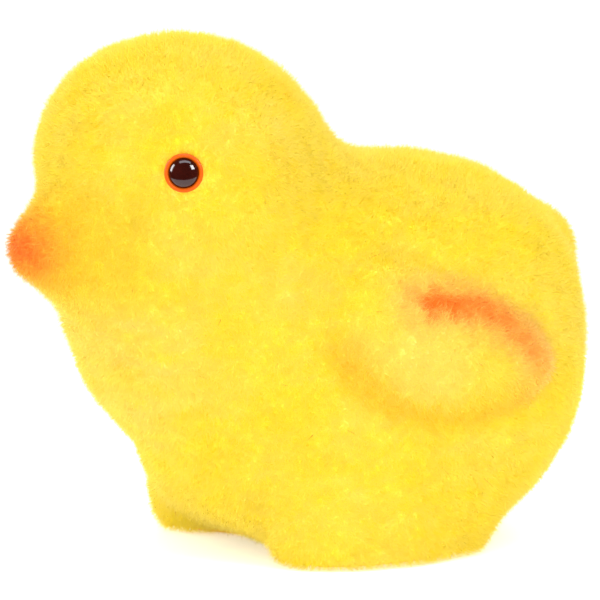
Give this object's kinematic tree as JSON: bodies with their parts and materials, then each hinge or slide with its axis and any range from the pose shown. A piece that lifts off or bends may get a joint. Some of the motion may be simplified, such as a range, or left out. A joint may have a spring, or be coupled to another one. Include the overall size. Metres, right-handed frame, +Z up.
{
  "type": "wind-up hopping chick",
  "caption": "Flocked toy chick with a clockwork gearbox, a side winding knob and hinged feet that kick it into a hop",
  "frame": {"origin": "middle of the flat underside of the base plate, on the plane where the two halves of the body meet", "axes": "+X towards the chick's own left, -Y the way it faces, +Z up; it stands on z = 0"},
  "size_m": [0.0581, 0.08, 0.0664],
  "materials": {
    "flocked_shell": "yellow nylon flock on a moulded shell, airbrushed orange on the beak and wings",
    "orange_plastic": "moulded, slightly satin",
    "white_plastic": "moulded, semi-gloss",
    "cream_plastic": "moulded acetal",
    "brass": "turned or stamped, satin",
    "steel": "plated, satin",
    "eye_orange": "gloss",
    "eye_black": "high gloss"
  },
  "bodies": {
    "feet": {"foot_left": "orange_plastic", "foot_right": "orange_plastic", "foot_axle": "steel"},
    "chassis": {"body_shell_left": "flocked_shell", "body_shell_right": "flocked_shell", "base_plate": "orange_plastic", "base_screw_left": "steel", "base_screw_right": "steel", "gearbox_plate_left": "cream_plastic", "gearbox_plate_right": "cream_plastic", "pillar_1": "brass", "pillar_2": "brass", "pillar_3": "brass", "pillar_4": "brass", "gearbox_screw_1": "steel", "gearbox_screw_2": "steel", "gearbox_screw_3": "steel", "gearbox_screw_4": "steel", "mount_screw_1": "steel", "mount_screw_2": "steel", "mount_screw_3": "steel", "mount_screw_4": "steel", "mainspring": "steel", "spring_post": "brass", "eye_button_left": "eye_orange", "eye_button_right": "eye_orange", "eye_pupil_left": "eye_black", "eye_pupil_right": "eye_black", "eye_washer_left": "steel", "eye_washer_right": "steel"},
    "winder": {"winding_knob": "white_plastic", "winding_arbor": "steel", "great_wheel": "brass", "ratchet_wheel": "steel", "click_pawl": "steel"},
    "second": {"second_arbor": "steel", "second_wheel": "white_plastic", "second_pinion": "brass"},
    "crank": {"crank_arbor": "steel", "crank_pinion": "brass", "crank_arm_left": "cream_plastic", "crank_arm_right": "cream_plastic"}
  },
  "joints": [
    {"name": "hop", "type": "hinge", "parent": "feet", "child": "chassis", "pos_m": [0, 0.0123, 0.0036], "axis": [-1, 0, 0], "range_deg": [0, 6]},
    {"name": "wind", "type": "hinge", "parent": "chassis", "child": "winder", "pos_m": [0, 0.009, 0.015], "axis": [-1, 0, 0], "continuous": true},
    {"name": "second_turn", "type": "hinge", "parent": "chassis", "child": "second", "pos_m": [0, -0.00268, 0.01945], "axis": [-1, 0, 0], "continuous": true},
    {"name": "crank_turn", "type": "hinge", "parent": "chassis", "child": "crank", "pos_m": [0, -0.0035, 0.0095], "axis": [-1, 0, 0], "continuous": true}
  ],
  "couplings": [
    {"joint": "second_turn", "follows": "wind", "ratio": -4},
    {"joint": "crank_turn", "follows": "wind", "ratio": 16}
  ]
}
